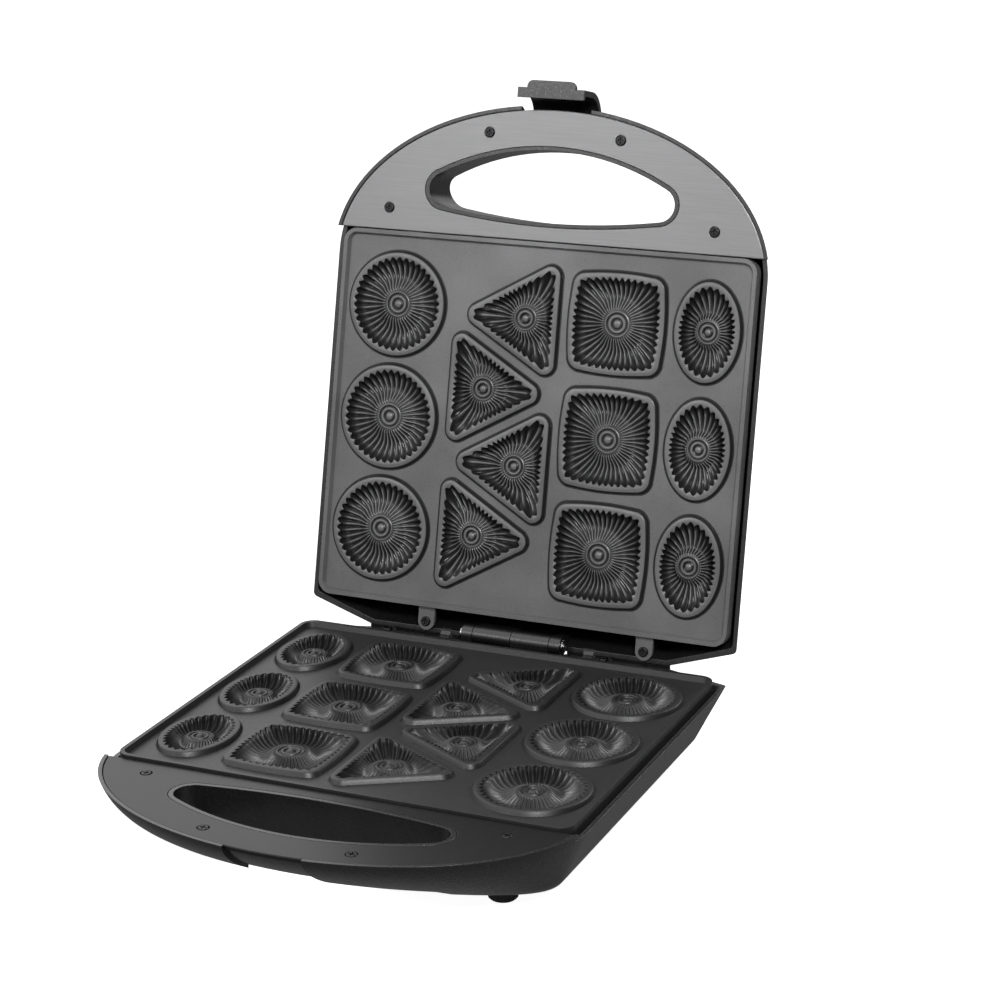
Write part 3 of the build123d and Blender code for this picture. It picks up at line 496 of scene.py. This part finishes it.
# Outlines of the moulds, in millimetres, as in the cast plate
CIRCLE_RADIUS = 27.2
OVAL_HALVES = (16.6, 25.4)
SQUARE_HALF = 23.8
SQUARE_BULGE = 2.2
SQUARE_CORNER = 5.0
TRIANGLE_INRADIUS = 17.75
TRIANGLE_CORNER = 3.6
SMALLEST_CORNER = 1.2
# Bow of a ray's side under which it counts as straight
NO_BOW = 1e-9

# Places of the moulds on the plate
ROW_PITCH = 64.8
FIRST_ROW = 41.5
CIRCLE_X = 89.0
SQUARE_X = -45.7
OVAL_X = -99.0
TRIANGLE_NEAR_X = 9.5
TRIANGLE_FAR_X = 32.0
TRIANGLE_FIRST = 43.5
TRIANGLE_PITCH = 42.0

# Hinge, from the plate's rear edge, with the gap of the closed plates and the angle of the open lid
HINGE_BEHIND = 11.5
CLOSED_GAP = 1.0
OPEN_ANGLE = 103.0

# Collar round a mould: its foot and top edge outside the mouth, and the drops of its top and of the plate's
# face below the plate's rim. The insert lies over them by the rise
COLLAR_FOOT = 3.4
COLLAR_TOP = 2.1
COLLAR_DROP = 0.6
FACE_DROP = 3.0
RISE = 0.05
# Painted shade: a dark line on the plate's face round the collar's foot, where shade falls in the corner
LINE_WIDTH = 0.7
LINE_RISE = 0.03

# Boss in the middle of the bowl: height of its top over the plate's rim, radius of the top, and radius where
# it meets the floor
BOSS_TOP = -2.5
BOSS_RADIUS = {"circle": 7.7, "square": 7.7, "triangle": 7.0, "oval": 6.8}
BOSS_FOOT = {"circle": 17.0, "square": 17.0, "triangle": 15.5, "oval": 11.0}
# Wall of the bowl: how far in and how deep it goes, how square it is, and how sharply it meets the boss
WALL_WIDTH = 11.0
WALL_DEPTH = 6.6
WALL_POWER = 0.75
BLEND = 1.3

# Flutes: sharpness of their crests, share of their height under the plain bowl, width over which they fade
# out at both ends, and most height for their distance from the middle
CREST_POWER = 1.3
UNDER_BOWL = 0.36
FADE_WIDTH = 1.2
FLUTE_SLOPE = 0.075
# How far the insert's mouth lies inside that of the CAD's bowl, and step from a tooth's edge to the collar
MOUTH_INSET = 0.25
TOOTH_STEP = 0.1

# Painted shade and painted highlight: depth of a full valley in the rosette, how far past the open face a
# crest goes the other way as a painted highlight, how narrow that crest is, and width of the band of painted
# shade along the mouth, behind the teeth
GROOVE_DEPTH = 0.6
CREST_HIGHLIGHT = 0.45
HIGHLIGHT_POWER = 1.2
SHADOW_WIDTH = 3.2

# Points across a flute, rings between boss and mouth, and angle in degrees up to which shading is smooth
FLUTE_STEPS = 8
BOWL_STEPS = 24
SMOOTH_ANGLE = 38

# Ringed rosette on the boss: radius and height over its top
ROSETTE = [
    (0.0, 0.45), (0.8, 0.42), (1.5, 0.28), (2.0, -0.05), (2.5, -0.7), (3.0, -0.85), (3.4, -0.7),
    (3.8, -0.04), (4.1, 0.02), (4.6, 0.02), (5.0, -0.04), (5.4, -0.66), (5.9, -0.76), (6.3, -0.6),
    (6.6, -0.04), (7.0, 0.0), (7.3, -0.2), (7.7, -0.3),
]
# Collar from the mouth outwards, then the insert's underside inside the cast plate: distance outside the
# mouth, height over the plate's rim and how much of a valley it is. The valley values paint shade on the
# collar's side and on the dark line at its foot
COLLAR_FLAT = -COLLAR_DROP + RISE
COLLAR_SIDE = [
    (0.35, COLLAR_FLAT, 0),
    (COLLAR_TOP - 0.3, COLLAR_FLAT, 0),
    (COLLAR_TOP + RISE, -COLLAR_DROP - 0.1, 0),
    (COLLAR_TOP + 0.35, -COLLAR_DROP - 0.5, 0.8),
    (COLLAR_FOOT, -FACE_DROP + LINE_RISE, 1),
    (COLLAR_FOOT + LINE_WIDTH, -FACE_DROP + LINE_RISE, 1),
    (COLLAR_FOOT + LINE_WIDTH + 0.05, -FACE_DROP - LINE_RISE, 1),
]
UNDER_SIDE = [
    (1.3, -4.4, 0),
    (0.84, -5.6, 0),
    (-0.31, -8.3, 0),
    (-1.83, -10.05, 0),
    (-3.43, -11.05, 0),
    (-5.25, -11.4, 0),
]
PLATES = {"base": "lower_plate", "lid": "lid_plate"}


class MouldSettings(PropertyGroup):
    """Flutes of the moulds"""

    flute_height: length("Flute height", 1.5, "Height of a flute between its valley and its crest")
    tooth: length("Tooth", 2.0, "How far a crest reaches in from the mouth of the mould")
    circle_flutes: count("Round flutes", 38, "Flutes of a round mould")
    square_flutes: count("Square flutes", 44, "Flutes of a square mould")
    triangle_flutes: count("Triangle flutes", 36, "Flutes of a triangular mould")
    oval_flutes: count("Oval flutes", 34, "Flutes of an oval mould")


def mould_spots():
    """Kind, place, turn and number of each of the thirteen moulds of a plate."""
    spots = []
    for row in range(3):
        reach = FIRST_ROW + ROW_PITCH * row
        for kind, x in (("circle", CIRCLE_X), ("square", SQUARE_X), ("oval", OVAL_X)):
            spots.append((kind, x, reach, 0, row + 1))
    for row in range(4):
        x, turn = ((TRIANGLE_FAR_X, 180), (TRIANGLE_NEAR_X, 0))[row % 2]
        spots.append(("triangle", x, TRIANGLE_FIRST + TRIANGLE_PITCH * row, turn, row + 1))
    return spots


def round_corner(reach, lean, centre, rounding, off, flank):
    """Reach and lean of a ray on a side, or on the round corner if the ray meets that."""
    across = centre * sin(off)
    if across < rounding:
        hit = centre * cos(off) + sqrt(rounding**2 - across**2)
        swing = atan2(hit * sin(off), hit * cos(off) - centre)
        if abs(swing) < flank:
            return hit, cos(swing - off)
    return reach, lean


def circle_mouth(angle, grow):
    """Reach and lean of a round outline."""
    return CIRCLE_RADIUS + grow, 1.0


def oval_mouth(angle, grow):
    """Reach and lean of an oval outline."""
    a, b = (half + grow for half in OVAL_HALVES)
    reach = a * b / hypot(b * cos(angle), a * sin(angle))
    x, y = reach * cos(angle), reach * sin(angle)
    nx, ny = x / a**2, y / b**2
    return reach, (x * nx + y * ny) / (reach * hypot(nx, ny))


def square_mouth(angle, grow):
    """Reach and lean of a square outline with bowed sides and round corners."""
    corner = SQUARE_HALF + grow
    side = corner + SQUARE_BULGE
    turn = abs((angle + pi / 4) % (pi / 2) - pi / 4)
    bow = SQUARE_BULGE * (sin(turn) / corner) ** 2
    if bow > NO_BOW:
        reach = (sqrt(cos(turn) ** 2 + 4 * bow * side) - cos(turn)) / (2 * bow)
    else:
        reach = side / cos(turn)
    slope = 2 * SQUARE_BULGE * reach * sin(turn) / corner**2
    lean = cos(turn - atan2(slope, 1))
    rounding = max(SQUARE_CORNER + grow, SMALLEST_CORNER)
    flank = pi / 4 - atan2(2 * SQUARE_BULGE, corner)
    centre = sqrt(2) * corner - rounding / cos(flank)
    return round_corner(reach, lean, centre, rounding, pi / 4 - turn, flank)


def triangle_mouth(angle, grow):
    """Reach and lean of a triangular outline with round corners."""
    side = TRIANGLE_INRADIUS + grow
    turn = abs((angle + pi / 3) % (2 * pi / 3) - pi / 3)
    lean = cos(pi / 3 - turn)
    rounding = max(TRIANGLE_CORNER + grow, SMALLEST_CORNER)
    centre = 2 * (side - rounding)
    return round_corner(side / lean, lean, centre, rounding, turn, pi / 3)


# For each kind, the distance from its centre to its outline grown all round, with the cosine of the angle
# between the ray there and the outline's normal
MOUTHS = {"circle": circle_mouth, "square": square_mouth, "triangle": triangle_mouth, "oval": oval_mouth}


def bowl_surface(kind, radius, rim, lean, ridge, flute_height):
    """Height of the fluted bowl at a distance from its centre.
    Ridge is 1 on a flute's crest and 0 in its valley."""
    boss, foot = BOSS_RADIUS[kind], BOSS_FOOT[kind]
    inset = max(min((rim - radius) * lean / WALL_WIDTH, 1), 0)
    wall = -COLLAR_DROP - WALL_DEPTH * (1 - (1 - inset) ** 2) ** WALL_POWER
    way = min((radius - boss) / (foot - boss), 1)
    hump = BOSS_TOP - (WALL_DEPTH + COLLAR_DROP + BOSS_TOP) * (3 * way**2 - 2 * way**3)
    floor = log(exp(BLEND * wall) + exp(BLEND * hump)) / BLEND
    floor = min(floor, -COLLAR_DROP) if inset > 0 else -COLLAR_DROP
    fade = min((radius - boss) / FADE_WIDTH, 1) * min((rim - radius) * lean / FADE_WIDTH, 1)
    return floor + min(flute_height, FLUTE_SLOPE * radius) * (ridge - UNDER_BOWL) * fade


def ring_at(angles, radii, height, valley):
    """Ring of points at a height, each at its own distance from the middle."""
    return [(cos(a) * r, sin(a) * r, height, valley) for a, r in zip(angles, radii)]


def mould_rings(kind, flutes, flute_height, tooth):
    """Rings of points of one mould from its middle outwards and back underneath, in millimetres.
    The fourth number of a point is how much of a valley it is: painted shade where it is positive, a painted
    highlight where it is negative."""
    points = flutes * FLUTE_STEPS
    boss = BOSS_RADIUS[kind]
    outline = MOUTHS[kind]
    angles = [tau * step / points for step in range(points)]
    ridges = [1 - abs(sin(flutes * angle / 2)) ** CREST_POWER for angle in angles]
    mouths = [outline(angle, -MOUTH_INSET) for angle in angles]
    rims = [reach - tooth * ridge for (reach, lean), ridge in zip(mouths, ridges)]
    rings = []
    for radius, height in ROSETTE[1:]:
        across = radius / ROSETTE[-1][0] * boss
        # The rosette's grooves take painted shade by their depth
        valley = min(max(-height / GROOVE_DEPTH, 0), 1)
        rings.append(ring_at(angles, [across] * points, BOSS_TOP + height, valley))
    for step in range(1, BOWL_STEPS + 1):
        way = sin(pi / 2 * step / BOWL_STEPS)
        ring = []
        for angle, ridge, (reach, lean), rim in zip(angles, ridges, mouths, rims):
            radius = boss + (rim - boss) * way
            height = bowl_surface(kind, radius, rim, lean, ridge, flute_height)
            # Painted shade along the mouth, behind the teeth, and a painted highlight on the crests
            # elsewhere
            under_tooth = max(1 - (rim - radius) * lean / SHADOW_WIDTH, 0)
            valley = 1 - (1 + CREST_HIGHLIGHT) * ridge**HIGHLIGHT_POWER * (1 - under_tooth)
            ring.append((cos(angle) * radius, sin(angle) * radius, height, valley))
        rings.append(ring)
    rings.append(ring_at(angles, [rim + TOOTH_STEP for rim in rims], COLLAR_FLAT, 0))
    for grow, height, valley in COLLAR_SIDE + UNDER_SIDE:
        rings.append(ring_at(angles, [outline(angle, grow)[0] for angle in angles], height, valley))
    return rings


def mould_mesh(kind, settings):
    """Closed mesh of one mould, in metres, about its own middle. It comes from a formula, because modelling
    operators can't shape flutes that follow four different outlines."""
    flutes = getattr(settings, f"{kind}_flutes")
    rings = mould_rings(kind, flutes, settings.flute_height / MM, settings.tooth / MM)
    around = len(rings[0])
    points = [(0, 0, BOSS_TOP + ROSETTE[0][1], 0)]
    points += [point for ring in rings for point in ring]
    points.append((0, 0, UNDER_SIDE[-1][1], 0))
    faces = [(0, 1 + step, 1 + (step + 1) % around) for step in range(around)]
    for ring in range(len(rings) - 1):
        inner, outer = 1 + ring * around, 1 + (ring + 1) * around
        for step in range(around):
            after = (step + 1) % around
            faces.append((inner + step, outer + step, outer + after, inner + after))
    last = 1 + (len(rings) - 1) * around
    end = len(points) - 1
    faces += [(last + step, end, last + (step + 1) % around) for step in range(around)]
    made = bpy.data.meshes.new(kind)
    made.from_pydata([[c * MM for c in point[:3]] for point in points], [], faces)
    # The valley values steer the coating's painted shade and painted highlight
    valleys = made.attributes.new("valley", "FLOAT", "POINT")
    valleys.data.foreach_set("value", [point[3] for point in points])
    return made


def hinge_axis():
    """Place of the lid's hinge in the frame."""
    return Vector(next(joint for joint in frame["joints"] if joint["name"] == "lid_hinge")["pos_m"])


def half_places():
    """Where each half's plate lies, for the base and for the open lid. A plate's origin is the middle of its
    rear edge, at the height of its rim."""
    hinge = Matrix.Translation(hinge_axis())
    own_hinge = Matrix.Translation(Vector((0, HINGE_BEHIND, CLOSED_GAP / 2)) * MM)
    opened = Matrix.Rotation(-radians(OPEN_ANGLE), 4, "X")
    over = Matrix.Translation((0, 0, CLOSED_GAP * MM)) @ Matrix.Rotation(pi, 4, "Y")
    return {
        "base": hinge @ own_hinge.inverted(),
        "lid": hinge @ opened @ own_hinge.inverted() @ over,
    }


class MAKER_OT_moulds(Operator):
    """Fluted moulds cast in both plates"""

    bl_idname = "maker.moulds"
    bl_label = "Fluted moulds"

    def execute(self, context):
        settings = context.scene.maker_mould
        patterns = {kind: mould_mesh(kind, settings) for kind in BOSS_RADIUS}
        for body, place in half_places().items():
            plate = frame["nodes"][PLATES[body]]
            for kind, x, reach, turn, row in mould_spots():
                spot = Matrix.Translation((x * MM, -reach * MM, 0))
                shape = patterns[kind].copy()
                shape.transform(place @ spot @ Matrix.Rotation(radians(turn), 4, "Z"))
                piece = bpy.data.objects.new(f"{body}_{kind}_mould_{row}", shape)
                context.scene.collection.objects.link(piece)
                bpy.ops.object.select_all(action="DESELECT")
                piece.select_set(True)
                context.view_layer.objects.active = piece
                bpy.ops.object.shade_smooth_by_angle(angle=radians(SMOOTH_ANGLE))
                shape.materials.append(plate.material_slots[0].material)
                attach(piece, body)
        return {"FINISHED"}


# Lip under the open lid's rear wall, in millimetres: its middle behind and above the hinge's axis, and the
# spans that it covers, which leave out the barrels and the stop ribs
LIP_MIDDLE = (5.73, -5.10)
LIP_SPANS = [(-92.0, -47.8), (-40.2, -30.6), (30.6, 40.2), (47.8, 92.0)]


class LipSettings(PropertyGroup):
    """Lip at the lid's rear"""

    lip_wall: length("Lip wall", 1.0, "Thickness of the lip")
    lip_height: length("Lip height", 3.6, "Height of the lip, with its root in the housing")


class MAKER_OT_rear_lip(Operator):
    """Lip of the lid's housing that covers the gap beside the hinge"""

    bl_idname = "maker.rear_lip"
    bl_label = "Rear lip"

    def execute(self, context):
        settings = context.scene.maker_lip
        back, up = LIP_MIDDLE
        strips = []
        for low, high in LIP_SPANS:
            middle = Vector(((low + high) / 2, back, up)) * MM
            bpy.ops.mesh.primitive_cube_add(
                size=1, location=hinge_axis() + middle,
                scale=((high - low) * MM, settings.lip_wall, settings.lip_height),
            )
            strips.append(context.object)
        bpy.ops.object.select_all(action="DESELECT")
        for strip in strips:
            strip.select_set(True)
        bpy.ops.object.join()
        bpy.ops.object.transform_apply(location=True, rotation=True, scale=True)
        piece = context.object
        piece.name = "lid_rear_lip"
        piece.data.materials.append(frame["nodes"]["lid_housing"].material_slots[0].material)
        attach(piece, "lid")
        return {"FINISHED"}


# Each step with the name and the class of the settings that it reads, in the order in which they run
STEPS = [
    (MAKER_OT_studio, "maker_studio", StudioSettings),
    (MAKER_OT_finishes, "maker_finish", FinishSettings),
    (MAKER_OT_moulds, "maker_mould", MouldSettings),
    (MAKER_OT_rear_lip, "maker_lip", LipSettings),
]


class MAKER_PT_panel(Panel):
    """Lists the steps that build the picture and the values they read"""

    bl_label = "Donut maker"
    bl_idname = "MAKER_PT_panel"
    bl_space_type = "VIEW_3D"
    bl_region_type = "UI"
    bl_category = "Donut maker"

    def draw(self, context):
        for step, name, group in STEPS:
            box = self.layout.box()
            box.operator(step.bl_idname)
            for value in group.__annotations__:
                box.prop(getattr(context.scene, name), value)


def register():
    for step, name, group in STEPS:
        bpy.utils.register_class(group)
        bpy.utils.register_class(step)
        setattr(bpy.types.Scene, name, PointerProperty(type=group))
    bpy.utils.register_class(MAKER_PT_panel)


def unregister():
    bpy.utils.unregister_class(MAKER_PT_panel)
    for step, name, group in reversed(STEPS):
        delattr(bpy.types.Scene, name)
        bpy.utils.unregister_class(step)
        bpy.utils.unregister_class(group)


def main():
    """Builds the picture."""
    register()
    bpy.ops.maker.studio()
    bpy.ops.maker.finishes()
    bpy.ops.maker.moulds()
    bpy.ops.maker.rear_lip()


if __name__ == "__main__":
    main()
